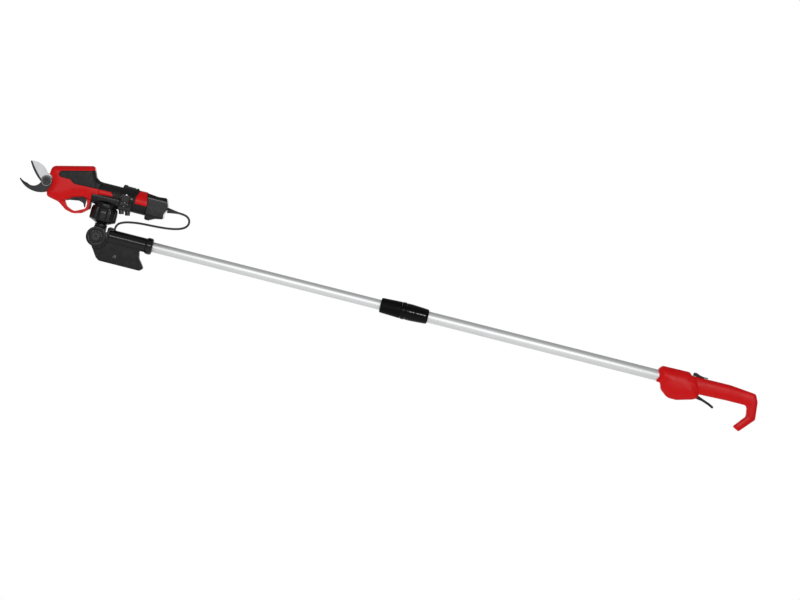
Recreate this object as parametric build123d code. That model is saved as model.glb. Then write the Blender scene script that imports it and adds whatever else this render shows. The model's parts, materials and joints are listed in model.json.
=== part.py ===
"""Cordless pruner on a two-section telescopic pole, in millimetres.

+X runs along the pole from the cutting head towards the hand grip, +Z is up when the grip is
held level, and -Y is the side with the bolt head of the blades. The origin is the middle of the
hand grip, on the pole's axis.
"""

import math
import os

from build123d import *

os.makedirs("parts", exist_ok=True)

# Pole
OUTER_R = 12.5
INNER_R = 11.2
TUBE_WALL = 1.0
SLIP = 0.05
OUTER_HEAD_END = -735.0
OUTER_GRIP_END = -85.0
INNER_HEAD_END = -1394.0
INNER_GRIP_END = -620.0
GUIDE_LENGTH = 22.0

# Twist lock
NUT_HEAD_X = -779.0
NUT_GRIP_X = -733.0
HUB_HEAD_X = -732.35
LOCK_RING_X = -731.0
BODY_HEAD_X = -721.0
BODY_GRIP_X = -671.0
LOCK_R = 18.6
LOCK_HUB_R = 16.9
LOCK_END_R = 16.4
COLLET_R = 14.2

# Hand grip
BULB_HALF_WIDTH = 21.0
GRIP_HALF_WIDTH = 15.0
HOOK_HALF_WIDTH = 11.5
CASE_WALL = 3.0
LEVER_PIVOT = (-64.0, -24.0)
LEVER_WIDTH = 9.0

# Bracket and its tilt hinge
SLEEVE_HEAD_X = -1394.0
SLEEVE_GRIP_X = -1312.0
SLEEVE_R = 15.8
COLLAR_R = 18.5
COLLAR_END_X = -1296.0
TILT = (-1422.0, -8.0)
TILT_HOLE_R = 3.05
EAR_R = 22.0
EAR_INNER_Y = 8.0
EAR_OUTER_Y = 15.0
FIN_HALF = 9.0
GLAND_X = -1386.3
GLAND_TOP = 16.0

# Neck, knob and saddle, on the upright swivel axis
SWIVEL_X = -1418.0
TONGUE_R = 19.5
TONGUE_SWEEP_R = 22.3
TONGUE_HALF = 7.5
NECK_R = 13.8
SPIGOT_R = 10.0
SPIGOT_TOP = 55.0
KNOB_BOTTOM = 22.5
KNOB_TOP = 56.5
KNOB_RIM_TOP = 59.6
KNOB_R = 30.0
KNOB_LOBES = 8
SADDLE_BOTTOM = 57.0

# Pruner
GRIP_AXIS_Z = 88.5
GRIP_HALF_WIDTH_FRONT = 20.5
GRIP_HALF_HEIGHT_FRONT = 23.0
GRIP_HALF_WIDTH_REAR = 21.8
GRIP_HALF_HEIGHT_REAR = 25.6
GRIP_FRONT_X = -1438.0
GRIP_STEP_X = -1386.0
GRIP_END_X = -1329.0
HEAD_HALF_WIDTH = 23.0
HEAD_ROUND = 8.0
SHELL_WALL = 2.6

# Blades and their drive
PIVOT = (-1558.0, 84.0)
BLADE_HOLE_R = 4.05
BLADE_GAP = 0.2
FIXED_THICK = 4.3
MOVING_THICK = 3.0
GEAR_THICK = 4.0
GEAR_MODULE = 1.0
SECTOR_TEETH = 44
PINION_TEETH = 12
TOOTH_HALF = 0.66
SECTOR_SPAN = (-63.0, 13.5)

# Case screws
SCREW_HOLE_R = 1.55
SCREW_SEAT_R = 3.05

# Lead
CORD_R = 2.4
LIMP_CORD_LEAST_RADIUS = 12.0


def outline(corners):
    """A closed face drawn from (x, z, corner radius) corners."""
    points = [(x, z) for x, z, _ in corners]
    radii = [radius for _, _, radius in corners]
    return make_face(FilletPolyline(*points, radius=radii, close=True))


def plate(face, y_low, y_high):
    """A face drawn in x and z, made solid between two depths."""
    return extrude(Plane.XZ.offset(-y_high) * face, y_high - y_low, dir=(0, -1, 0))


def slab(corners, y_low, y_high):
    return plate(outline(corners), y_low, y_high)


def round_half(face, depth, radius):
    """The near half of a casing, its outer edge rounded."""
    half = plate(face, -depth, 0)
    side = half.faces().sort_by(Axis.Y)[0]
    return fillet(side.edges(), radius)


def rod_x(radius, x_low, x_high, y=0.0, z=0.0):
    """A round bar along X."""
    bar = Cylinder(radius, x_high - x_low, align=(Align.CENTER, Align.CENTER, Align.MIN))
    return Pos(x_low, y, z) * Rot(0, 90, 0) * bar


def rod_y(radius, y_low, y_high, x, z):
    """A round bar along Y."""
    bar = Cylinder(radius, y_high - y_low, align=(Align.CENTER, Align.CENTER, Align.MIN))
    return Pos(x, y_low, z) * Rot(-90, 0, 0) * bar


def rod_z(radius, z_low, z_high, x, y=0.0):
    """A round bar along Z."""
    bar = Cylinder(radius, z_high - z_low, align=(Align.CENTER, Align.CENTER, Align.MIN))
    return Pos(x, y, z_low) * bar


def block(x_low, x_high, y_low, y_high, z_low, z_high):
    """A box between three pairs of limits."""
    box = Box(x_high - x_low, y_high - y_low, z_high - z_low, align=(Align.MIN, Align.MIN, Align.MIN))
    return Pos(x_low, y_low, z_low) * box


def pipe_x(outer, inner, x_low, x_high):
    """A tube along the pole's axis."""
    return rod_x(outer, x_low, x_high) - rod_x(inner, x_low - 1, x_high + 1)


def turned_x(profile):
    """A turned part about the pole's axis, from (x, radius) points."""
    face = make_face(Polyline(*[(x, r) for x, r in profile], close=True))
    return revolve(Plane.XY * face, Axis.X)


def turned_z(profile, x):
    """A turned part about an upright axis, from (radius, z) points."""
    face = make_face(Polyline(*[(r, z) for r, z in profile], close=True))
    return Pos(x, 0, 0) * revolve(Plane.XZ * face, Axis.Z)


def screw_y(x, z, y_head, y_tip, radius=1.5):
    """A pan-head screw along Y, its head at y_head."""
    step = 1.0 if y_tip > y_head else -1.0
    head_end = y_head + 2.0 * step
    head = rod_y(2 * radius, min(y_head, head_end), max(y_head, head_end), x, z)
    shank = rod_y(radius, min(head_end, y_tip), max(head_end, y_tip), x, z)
    socket = rod_y(radius * 0.7, y_head - 1.2, y_head + 1.2, x, z)
    return head + shank - socket


def mirrored(shape):
    return mirror(shape, about=Plane.XZ)


def save(name, *solids):
    """Write one named sub-part, as one solid or a group of separate ones."""
    pieces = [solid for shape in solids for solid in shape.solids()]
    export_step(pieces[0] if len(pieces) == 1 else Compound(children=pieces), f"parts/{name}.step")


# ---------------------------------------------------------------- hand grip
BULB = [
    (-151, -14.5, 3), (-152, 15, 5), (-145, 23, 6), (-84, 24, 5), (-77, 18, 4), (-70, 17.5, 6),
    (-60, 0, 20), (-52.5, -19, 3), (-54, -28, 6), (-64, -33.5, 12), (-98, -43, 16), (-118, -43, 22),
    (-137, -28, 18), (-141.5, -14.5, 4),
]
GRIP = [
    (-96, 17.5, 0), (10, 18.2, 40), (62, 13.3, 10), (70, 12, 6), (77.5, -4, 8), (81.5, -43, 8),
    (52, -76.5, 3), (37, -69, 3), (60.5, -40, 10), (56, -17, 7), (10, -17, 30), (-52, -19, 20),
    (-96, -19, 0),
]
HOOK_START_X = 48.0


def handle_half(inset):
    """The near half of the hand grip, inset evenly by the given depth."""
    bulb = outline(BULB)
    grip = outline(GRIP)
    if inset:
        bulb = offset(bulb, amount=-inset)
        grip = offset(grip, amount=-inset)
    rounding = 5.0 - inset / 2
    handle = round_half(grip, GRIP_HALF_WIDTH - inset, rounding)
    front = block(HOOK_START_X, 100, -40, -(HOOK_HALF_WIDTH - inset), -100, 40)
    return round_half(bulb, BULB_HALF_WIDTH - inset, rounding) + (handle - front)


def handle_shell():
    """One half of the hand grip: hollow, with its tube seat and openings."""
    shell = handle_half(0) - handle_half(CASE_WALL)
    solid_nose = handle_half(0) & block(-160, -132, -30, 0, -60, 40)
    end_stop = handle_half(0) & block(-83, -80, -30, 0, -14, 40)
    shell = shell + solid_nose + end_stop
    shell = shell - rod_x(OUTER_R + SLIP, -170, OUTER_GRIP_END + SLIP)
    shell = shell - rod_x(4.0, -90, -72)
    shell = shell - block(-78, -48, -LEVER_WIDTH / 2 - 1, 1, -37, -18.9)
    shell = shell - block(-67.5, -45.5, -3.6, 1, 10, 24)
    pin_seat = rod_y(5.0, -BULB_HALF_WIDTH + 2, -LEVER_WIDTH / 2 - 0.5, *LEVER_PIVOT)
    shell = shell + pin_seat
    for x, z in GRIP_SCREWS:
        shell = shell + (rod_y(4.5, -BULB_HALF_WIDTH + 2.5, 0, x, z) & handle_half(1.0))
    shell = shell - rod_y(2.05, -LEVER_WIDTH / 2 - 6, 1, *LEVER_PIVOT)
    return shell


GRIP_SCREWS = [(-118, -31), (-30, 8), (24, 6), (66, -30)]


def build_hand_grip():
    near = handle_shell()
    save("handle_shell_near", pilot_holes(near, GRIP_SCREWS))
    save("handle_shell_far", head_holes(mirrored(near), GRIP_SCREWS))
    save("handle_screws", *[screw_y(x, z, SCREW_HEAD_Y, SCREW_TIP_Y) for x, z in GRIP_SCREWS])


def build_lever():
    """The hand trigger, its pin, its spring, the switch it presses and the catch above."""
    x, z = LEVER_PIVOT
    lever = slab(
        [(x - 5, z + 4, 3), (x + 6, z + 4.5, 3), (-40, -26.5, 20), (-26, -31.5, 20), (-13.5, -37.5, 2),
         (-15.5, -42.5, 2), (-27, -37, 20), (-42, -31.8, 20), (x + 2, z - 5, 4), (x - 5, z - 4, 3)],
        -LEVER_WIDTH / 2, LEVER_WIDTH / 2,
    )
    save("hand_trigger", lever - rod_y(2.05, -6, 6, x, z))
    save("trigger_pin", rod_y(2.0, -10.0, 10.0, x, z))
    save("trigger_switch", block(-104, -74.5, -6, 6, -28, -15))
    save("hand_trigger_spring", rod_x(2.2, -74.4, x - 5.2, z=z))
    slider = slab(
        [(-75, 18, 1), (-74, 25.5, 1.5), (-67.5, 26, 1.5), (-59, 22.4, 8), (-50, 20.8, 8), (-42, 21.2, 1),
         (-40, 18.4, 0.5)],
        -6.0, 6.0,
    )
    save("lock_off_slider", slider + block(-67, -49, -3, 3, 8, 19))
    save("lock_off_spring", rod_x(2.0, -77.5, -67.1, z=11))


# ---------------------------------------------------------------- pole and twist lock
def build_pole():
    save("outer_tube", pipe_x(OUTER_R, OUTER_R - TUBE_WALL, OUTER_HEAD_END, OUTER_GRIP_END))
    inner = pipe_x(INNER_R, INNER_R - TUBE_WALL, INNER_HEAD_END, INNER_GRIP_END)
    save("inner_tube", inner - rod_z(4.0, 0, 20, GLAND_X))
    guide = pipe_x(OUTER_R - TUBE_WALL - SLIP, INNER_R, INNER_GRIP_END - GUIDE_LENGTH, INNER_GRIP_END)
    save("tube_guide", guide)
    save("lead_upper", rod_x(CORD_R, INNER_HEAD_END + 8, -705.0))
    save("curly_lead", rod_x(6.5, -705.0, -190.0))
    route = FilletPolyline((-190, 0, 0), (-77, 0, 0), (-77, 0, -15), radius=6)
    save("lead_lower", sweep(Plane(route @ 0, z_dir=route % 0) * Circle(CORD_R), path=route))


def build_lock():
    """The twist lock: a nut that squeezes a slotted collet on to the inner tube."""
    nut = turned_x([
        (NUT_HEAD_X, INNER_R + 0.15), (NUT_HEAD_X, LOCK_END_R - 2.5), (NUT_HEAD_X + 3, LOCK_END_R),
        (NUT_HEAD_X + 40, LOCK_R), (NUT_GRIP_X, LOCK_R), (NUT_GRIP_X, COLLET_R + 0.8),
        (NUT_HEAD_X + 12, COLLET_R + 0.8), (NUT_HEAD_X + 8, INNER_R + 0.15),
    ])
    grips = [
        Rot(turn * 30.0, 0, 0) * block(NUT_HEAD_X + 8, NUT_GRIP_X - 8, -1.1, 1.1, LOCK_R - 0.9, LOCK_R + 2)
        for turn in range(12)
    ]
    for groove in grips:
        nut = nut - groove
    save("lock_nut", nut)
    collet = turned_x([
        (NUT_HEAD_X + 14, INNER_R + SLIP), (NUT_HEAD_X + 14, INNER_R + 1.2), (NUT_HEAD_X + 22, COLLET_R),
        (NUT_GRIP_X + 0.5, COLLET_R), (NUT_GRIP_X + 0.5, OUTER_R + SLIP),
        (OUTER_HEAD_END - SLIP, OUTER_R + SLIP), (OUTER_HEAD_END - SLIP, INNER_R + SLIP),
    ])
    for turn in range(3):
        slot = block(NUT_HEAD_X + 10, NUT_HEAD_X + 34, -20, 20, -0.8, 0.8)
        collet = collet - Rot(turn * 60.0, 0, 0) * slot
    save("lock_collet", collet)
    ring = turned_x([
        (HUB_HEAD_X, OUTER_R + SLIP), (HUB_HEAD_X, LOCK_HUB_R), (LOCK_RING_X, LOCK_HUB_R),
        (LOCK_RING_X, 18.4), (LOCK_RING_X + 2, 19.3), (BODY_HEAD_X - 3, 19.3), (BODY_HEAD_X - 1, 18.4),
        (BODY_HEAD_X - 1, LOCK_HUB_R), (BODY_HEAD_X - 0.1, LOCK_HUB_R), (BODY_HEAD_X - 0.1, OUTER_R + SLIP),
    ])
    save("lock_ring", ring)
    body = turned_x([
        (BODY_HEAD_X, OUTER_R + SLIP), (BODY_HEAD_X, LOCK_R), (BODY_HEAD_X + 12, LOCK_R),
        (BODY_GRIP_X - 3, LOCK_END_R), (BODY_GRIP_X, LOCK_END_R - 2.5), (BODY_GRIP_X, OUTER_R + SLIP),
    ])
    save("lock_body", body)


# ---------------------------------------------------------------- bracket and tilt hinge
FIN = [
    (-1412, 0, 0), (-1431, -24, 4), (-1412, -52, 8), (-1404, -58, 7), (-1311, -58, 7), (-1303.5, -50, 5),
    (-1318, -31, 10), (-1321, -17, 4), (-1322, 0, 0),
]
HUMP = [(-1401, -4, 0), (-1401, 17, 4), (-1396, 20, 3), (-1388, 19, 4), (-1385, 10, 0), (-1385, -4, 0)]
FIN_WALL = 3.0
FIN_SCREWS = [(-1372, -40), (-1324, -48), (-1398, -47)]
NEAR_HEADS = FIN_SCREWS[:1]
FAR_HEADS = FIN_SCREWS[1:]
FIN_SCREW_TIP_Y = 7.0
ARM_R = 27.5
ARM_OUTER_Y = 13.0


def bracket_half(heads):
    """The near half of the bracket: half the sleeve, half the fin and one hinge ear."""
    fin = outline(FIN)
    half = plate(fin, -FIN_HALF, 0)
    pocket = plate(offset(fin, amount=-FIN_WALL), -FIN_HALF + FIN_WALL, 0)
    pocket = pocket - rod_x(SLEEVE_R, -1500, -1200) - rod_y(EAR_R + 3, -20, 1, *TILT)
    half = half - pocket
    half = half + (rod_x(SLEEVE_R, SLEEVE_HEAD_X, SLEEVE_GRIP_X) & block(-1400, -1300, -20, 0, -20, 20))
    half = half + rod_y(EAR_R, -EAR_OUTER_Y, -EAR_INNER_Y, *TILT)
    half = half + (rod_y(ARM_R, -ARM_OUTER_Y, -EAR_INNER_Y, *TILT) & plate(fin, -ARM_OUTER_Y, 0))
    half = half + block(TILT[0], -1392, -ARM_OUTER_Y, -EAR_INNER_Y, -6, 7)
    half = half + slab(HUMP, -EAR_INNER_Y - 1, 0)
    for x, z in FIN_SCREWS:
        half = half + rod_y(4.0, -FIN_HALF, 0, x, z)
    half = half - rod_x(INNER_R + SLIP, -1400, -1300) - rod_y(TONGUE_SWEEP_R, -EAR_INNER_Y, 1, *TILT)
    half = half - rod_y(TILT_HOLE_R, -30, 1, *TILT) - rod_z(4.55, 0, 30, GLAND_X)
    ring = rod_y(15.5, -EAR_OUTER_Y - 1, -EAR_OUTER_Y + 0.8, *TILT) - rod_y(13.8, -30, 0, *TILT)
    half = half - ring
    for x, z in FIN_SCREWS:
        half = half - rod_y(SCREW_HOLE_R, -FIN_SCREW_TIP_Y - 0.5, 1, x, z)
    for x, z in heads:
        half = half - rod_y(SCREW_HOLE_R, -20, 1, x, z) - rod_y(SCREW_SEAT_R, -20, -FIN_HALF + 2.2, x, z)
    return half


def build_bracket():
    save("bracket_near", bracket_half(NEAR_HEADS))
    save("bracket_far", mirrored(bracket_half(FAR_HEADS)))
    screws = [screw_y(x, z, -FIN_HALF + 0.2, FIN_SCREW_TIP_Y) for x, z in NEAR_HEADS]
    screws += [screw_y(x, z, FIN_HALF - 0.2, -FIN_SCREW_TIP_Y) for x, z in FAR_HEADS]
    save("bracket_screws", *screws)
    collar = turned_x([
        (SLEEVE_GRIP_X, INNER_R + SLIP), (SLEEVE_GRIP_X, SLEEVE_R), (SLEEVE_GRIP_X + 4, COLLAR_R),
        (COLLAR_END_X - 3, COLLAR_R), (COLLAR_END_X, COLLAR_R - 3), (COLLAR_END_X, INNER_R + SLIP),
    ])
    save("sleeve_collar", collar)
    save("cord_gland", rod_z(4.5, INNER_R + 0.1, GLAND_TOP, GLAND_X) + rod_z(3.9, 8.0, 12.0, GLAND_X))
    bolt = rod_y(3.0, -EAR_OUTER_Y - 0.5, EAR_OUTER_Y + 5, *TILT)
    cap = rod_y(9.5, -EAR_OUTER_Y - 2.5, -EAR_OUTER_Y, *TILT) - rod_y(3.0, -30, -EAR_OUTER_Y - 1, *TILT)
    save("tilt_bolt", bolt + cap)
    hexagon = Plane.XZ.offset(-EAR_OUTER_Y - 5) * Pos(*TILT) * RegularPolygon(7.5, 6)
    nut = extrude(hexagon, 5, dir=(0, -1, 0)) - rod_y(3.0, 0, 40, *TILT)
    save("tilt_nut", nut)


def build_neck():
    """The neck tilts between the ears, and its spigot carries the swivel above."""
    x, z = TILT
    neck = rod_y(TONGUE_R, -TONGUE_HALF, TONGUE_HALF, x, z)
    neck = neck + block(SWIVEL_X - NECK_R, SWIVEL_X + NECK_R, -TONGUE_HALF, TONGUE_HALF, z + 4, 16)
    neck = neck + rod_z(NECK_R, 15.2, 22, SWIVEL_X) + rod_z(SPIGOT_R, 21, SPIGOT_TOP, SWIVEL_X)
    neck = neck - rod_z(6.05, 30, 60, SWIVEL_X) - rod_y(TILT_HOLE_R, -20, 20, x, z)
    save("tilt_neck", neck)
    knob = turned_z([
        (SPIGOT_R + 0.3, KNOB_BOTTOM), (14, KNOB_BOTTOM), (28.5, 29), (KNOB_R, 31), (KNOB_R, 48), (28.8, 55),
        (27.2, KNOB_RIM_TOP), (25.4, KNOB_RIM_TOP), (25.4, KNOB_TOP), (SPIGOT_R + 0.3, KNOB_TOP),
    ], SWIVEL_X)
    for lobe in range(KNOB_LOBES):
        around = math.radians((lobe + 0.5) * 360 / KNOB_LOBES)
        reach = KNOB_R + 4.2
        knob = knob - rod_z(6.5, 20, 60, SWIVEL_X + reach * math.cos(around), reach * math.sin(around))
    save("swivel_knob", knob)


# ---------------------------------------------------------------- pruner casing
HEAD = [
    (-1551, 66, 2), (-1549.5, 52, 9), (-1523, 46.5, 12), (-1510, 51, 8), (-1491, 64, 20), (-1470, 70, 10),
    (-1452, 66.5, 0), (-1436, 66.5, 0), (-1436, 111.5, 0), (-1443, 112, 3), (-1452, 118, 6),
    (-1462, 141.5, 5), (-1552.5, 119.5, 13), (-1554, 101, 2), (-1547.5, 96, 3), (-1544.5, 84, 10),
    (-1546.5, 72, 3),
]
GUARD = [
    (-1536, 50, 0), (-1520, 45.5, 12), (-1502, 33, 14), (-1485, 29, 20), (-1466, 34, 14), (-1449.5, 48, 6),
    (-1449.5, 57, 6), (-1453, 72, 0), (-1480, 74, 0), (-1530, 60, 0),
]
OPENING = [
    (-1508.5, 53.5, 3), (-1491, 64.5, 20), (-1471, 70.5, 5), (-1463, 69, 4), (-1458.5, 57, 8),
    (-1459, 46, 8), (-1483, 34, 15), (-1500, 41, 12),
]
BLACK_ZONE = [
    (-1452.5, 40, 0), (-1452.5, 80, 4), (-1425, 84.3, 20), (-1406, 85.3, 1), (-1412, 94.7, 1),
    (-1496, 92.5, 10), (-1507, 100, 8), (-1534.5, 100, 6), (-1532, 113.3, 7), (-1457.5, 131.5, 1),
    (-1464, 160, 0), (-1250, 160, 0), (-1250, 40, 0),
]
BAND_ZONE = [(-1357, 83, 0), (-1357, 97, 0), (-1349, 120, 0), (-1335, 120, 0), (-1329, 83, 0)]
BATTERY_ZONE = [(-1335, 120, 0), (-1329, 83, 0), (-1329, 40, 0), (-1250, 40, 0), (-1250, 120, 0)]
BATTERY = [
    (-1345, 113.5, 0), (-1308, 110, 20), (-1290.5, 112, 4), (-1284, 96, 8), (-1284, 88, 8), (-1289.5, 75, 5),
    (-1287, 64.5, 5), (-1306, 61, 15), (-1317, 55.5, 8), (-1332, 55.5, 6), (-1341, 62.5, 10),
    (-1356, 63, 0), (-1356, 113, 0),
]
GUARD_HALF = 10.0
PANEL_REAR_X = -1450.0


def oval_bar(half_width, half_height, x_low, x_high):
    """A bar of oval section along X, centred on the grip's own axis."""
    across = Plane((x_low, 0, GRIP_AXIS_Z), x_dir=(0, 1, 0), z_dir=(1, 0, 0))
    return extrude(across * Ellipse(half_width, half_height), x_high - x_low, dir=(1, 0, 0))


def grip_half(inset):
    """The near half of the pruner's grip: an oval, larger from the clamp back to the battery."""
    front = oval_bar(
        GRIP_HALF_WIDTH_FRONT - inset, GRIP_HALF_HEIGHT_FRONT - inset,
        GRIP_FRONT_X - 2 * inset, GRIP_STEP_X + inset + 1
    )
    rear = oval_bar(
        GRIP_HALF_WIDTH_REAR - inset, GRIP_HALF_HEIGHT_REAR - inset, GRIP_STEP_X + inset, GRIP_END_X
    )
    return (front + rear) & block(-1500, -1200, -40, 0, 0, 200)


def casing_half(inset):
    """The near half of the pruner's casing without its guard, inset evenly."""
    head = outline(HEAD)
    if inset:
        head = offset(head, amount=-inset)
    return round_half(head, HEAD_HALF_WIDTH - inset, HEAD_ROUND - inset) + grip_half(inset)


def battery_half(inset):
    case = outline(BATTERY)
    if inset:
        case = offset(case, amount=-inset)
    width = 2 * (GRIP_HALF_WIDTH_REAR - inset)
    section = Plane.YZ.offset(-1400) * Pos(0, 84.5) * RectangleRounded(width, 62 - 2 * inset, 14 - inset)
    return plate(case, -40, 0) & extrude(section, 200, dir=(1, 0, 0))


def guard_half():
    return plate(outline(GUARD) - outline(OPENING), -GUARD_HALF, 0)


SHELL_SCREWS = [(-1529, 58), (-1538, 111), (-1470, 133.5)]
GRIP_RIDGE = [(-1361.4, 108, 0), (-1361.4, 115.5, 1), (-1356, 117.6, 1), (-1353.5, 108, 0)]
SCREW_HEAD_Y = 11.0
SCREW_TIP_Y = -9.0


def shell_half(whole):
    """The near half of the pruner's hollow casing with its guard and openings."""
    shell = whole + guard_half() - casing_half(SHELL_WALL)
    shell = shell - block(-1560, -1537, -8.4, 1, 61, 108)
    shell = shell - block(-1508, -1459.5, -6.6, 1, 53, 72)
    shell = shell + slab(GRIP_RIDGE, -6.0, 0.0)
    for x, z in SHELL_SCREWS:
        shell = shell + (rod_y(4.5, -HEAD_HALF_WIDTH + 1, 0, x, z) & whole)
    return shell - rod_y(SCREW_HOLE_R, -8.6, 1, *PRUNER_TRIGGER_PIVOT)


def pilot_holes(near_half, places):
    """Blind holes for the screw tips, in the half without the heads."""
    for x, z in places:
        near_half = near_half - rod_y(SCREW_HOLE_R, SCREW_TIP_Y - 0.5, 1, x, z)
    return near_half


def head_holes(far_half, places):
    """Through holes with sunk seats for the screw heads."""
    for x, z in places:
        far_half = far_half - rod_y(SCREW_HOLE_R, -1, 40, x, z)
        far_half = far_half - rod_y(SCREW_SEAT_R, SCREW_HEAD_Y - 2.0, 40, x, z)
    return far_half


def build_casing():
    """Red shells, black side panels and grips, the red band and the battery case."""
    whole = casing_half(0)
    shell = shell_half(whole)
    black = slab(BLACK_ZONE, -60, 0)
    band = slab(BAND_ZONE, -60, 0)
    battery_space = slab(BATTERY_ZONE, -60, 0)
    red = shell - black
    dark = (shell & black) - band - battery_space
    panel = dark & block(-1600, PANEL_REAR_X, -60, 0, 86, 200)
    grip = dark - block(-1600, PANEL_REAR_X, -60, 0, 86, 200)
    save("red_shell_near", pilot_holes(red, SHELL_SCREWS))
    save("red_shell_far", head_holes(mirrored(red), SHELL_SCREWS))
    for name, near in (("side_panel", panel), ("grip_shell", grip)):
        save(f"{name}_near", near)
        save(f"{name}_far", mirrored(near))
    near_band = shell & band
    save("release_band", near_band + mirrored(near_band))
    battery = (battery_half(0) - battery_half(SHELL_WALL)) & battery_space
    battery = battery - block(-1327.9, -1318.3, -8.2, 1, 50, 60)
    save("battery_case", battery + mirrored(battery))
    save("shell_screws", *[screw_y(x, z, SCREW_HEAD_Y, SCREW_TIP_Y) for x, z in SHELL_SCREWS])
    return whole


# ---------------------------------------------------------------- saddle and clamp
CLAMP_FRONT_X = -1390.0
CLAMP_REAR_X = -1362.0
CLAMP_SPLIT_Z = 80.0
CLAMP_THICK = 3.0
THUMB_SCREWS = [(-1383.5, -13), (-1369.5, -13), (-1383.5, 13), (-1369.5, 13)]
THUMB_LEAN = -14.0
CLAMP_SCREW_X = -1377.5
CLAMP_SCREW_Y = 26.6


def build_saddle(whole):
    """The cradle on the swivel, and the two-part clamp round the grip behind it."""
    round_block = rod_x(27.5, -1451, CLAMP_FRONT_X - 0.2, z=GRIP_AXIS_Z)
    cradle = round_block & block(-1460, -1380, -24, 24, 60, 82)
    cradle = cradle + rod_z(24.5, SADDLE_BOTTOM, 66, SWIVEL_X)
    cradle = cradle - whole - mirrored(whole)
    cradle = cradle - block(-1470, -1449.3, -GUARD_HALF - 0.2, GUARD_HALF + 0.2, 40, 80)
    save("saddle", cradle + rod_z(6.0, 34, 62, SWIVEL_X))
    ring = oval_bar(
        GRIP_HALF_WIDTH_REAR + CLAMP_THICK, GRIP_HALF_HEIGHT_REAR + CLAMP_THICK, CLAMP_FRONT_X, CLAMP_REAR_X
    )
    lugs = block(CLAMP_FRONT_X, CLAMP_REAR_X, -20, -7, 62.5, 72) + block(
        CLAMP_FRONT_X, CLAMP_REAR_X, 7, 20, 62.5, 72
    )
    flanges = block(CLAMP_FRONT_X + 3, CLAMP_REAR_X - 7, -30, -23, 71, 96) + block(
        CLAMP_FRONT_X + 3, CLAMP_REAR_X - 7, 23, 30, 71, 96
    )
    nub = block(-1388.5, -1381, -5, 5, 112, 118.5)
    ring = (ring + lugs + flanges + nub) - whole - mirrored(whole)
    upper = ring & block(-1400, -1350, -40, 40, CLAMP_SPLIT_Z + 0.4, 130)
    lower = ring & block(-1400, -1350, -40, 40, 50, CLAMP_SPLIT_Z - 0.4)
    side_holes = [rod_z(1.7, 60, 120, CLAMP_SCREW_X, y) for y in (-CLAMP_SCREW_Y, CLAMP_SCREW_Y)]
    save("clamp_upper", upper - side_holes[0] - side_holes[1])
    thumb = []
    for x, y in THUMB_SCREWS:
        lean = Pos(x, y, 64) * Rot(0, THUMB_LEAN, 0)
        head = lean * Cylinder(4.8, 11, align=(Align.CENTER, Align.CENTER, Align.MAX))
        shank = lean * Cylinder(2.0, 2.8, align=(Align.CENTER, Align.CENTER, Align.MIN))
        for notch in range(6):
            around = math.radians(notch * 60)
            notch_at = Pos(5.3 * math.cos(around), 5.3 * math.sin(around), -5.5)
            head = head - lean * notch_at * Cylinder(1.1, 12)
        thumb.append(head + shank)
    for screw in thumb:
        lower = lower - screw
    save("clamp_lower", lower - side_holes[0] - side_holes[1])
    save("thumb_screws", *thumb)
    ties = []
    for y in (-CLAMP_SCREW_Y, CLAMP_SCREW_Y):
        shank = rod_z(1.6, 70, 96.5, CLAMP_SCREW_X, y)
        ties.append(shank + rod_z(2.8, 96, 98, CLAMP_SCREW_X, y))
    save("clamp_screws", *ties)


# ---------------------------------------------------------------- inside the casing
CELL_R = 9.0
CELL_LENGTH = 64.5
CELL_HEAD_X = -1359.5
CELL_RING_R = 10.45
CELL_RING_Z = GRIP_AXIS_Z - 0.8


def build_inside():
    cells = []
    for turn in (90, 210, 330):
        around = math.radians(turn)
        y = CELL_RING_R * math.cos(around)
        z = CELL_RING_Z + CELL_RING_R * math.sin(around)
        cells.append(rod_x(CELL_R, CELL_HEAD_X, CELL_HEAD_X + CELL_LENGTH, y, z))
    save("battery_cells", *cells)
    can = rod_x(14.0, -1434, -1392, z=GRIP_AXIS_Z)
    save("motor", can + rod_x(5.0, -1392, -1389, z=GRIP_AXIS_Z))
    save("gearbox", rod_x(15.5, -1480, -1441, z=GRIP_AXIS_Z) + rod_x(9, -1441, -1434, z=GRIP_AXIS_Z))
    drive = block(-1519, -1480, -10, 14.5, 71, 101)
    drive = drive + block(-1536, -1519, 9.2, 14.5, 78, 90)
    drive = drive - rod_y(2.55, 9, 15, PINION_X, PIVOT[1])
    save("angle_gearbox", drive)
    save("control_board", block(-1387, -1362, -11, 11, 76.5, 78.1) + block(-1380, -1368, -5, 5, 78, 83))


# ---------------------------------------------------------------- blades and their drive
PINION_X = PIVOT[0] + GEAR_MODULE * (SECTOR_TEETH + PINION_TEETH) / 2
FIXED_NEAR_Y = -BLADE_GAP - FIXED_THICK
MOVING_FAR_Y = BLADE_GAP + MOVING_THICK
GEAR_FAR_Y = MOVING_FAR_Y + GEAR_THICK


def curved_plate(start, sections, y_low, y_high):
    """A plate bounded by arcs: each section is a (middle, end) pair, or one end for a line."""
    here = start
    edges = []
    for section in sections:
        if len(section) == 2:
            middle, end = section
            edges.append(ThreePointArc(here, middle, end))
        else:
            end = section[0]
            edges.append(Line(here, end))
        here = end
    return plate(make_face(Curve() + edges), y_low, y_high)


def tooth_ring(teeth, first, last, centre, start_angle):
    """Blunt teeth on a pitch circle, standing from just inside the root to just past the pitch line."""
    pitch = GEAR_MODULE * teeth / 2
    solids = []
    for index in range(first, last + 1):
        turn = start_angle + index * 360 / teeth
        length = 1.9 * GEAR_MODULE
        tooth = block(pitch - 1.2 * GEAR_MODULE, pitch - 1.2 * GEAR_MODULE + length, MOVING_FAR_Y,
                      GEAR_FAR_Y, -TOOTH_HALF, TOOTH_HALF)
        solids.append(Pos(centre[0], 0, centre[1]) * Rot(0, -turn, 0) * tooth)
    return solids


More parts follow.
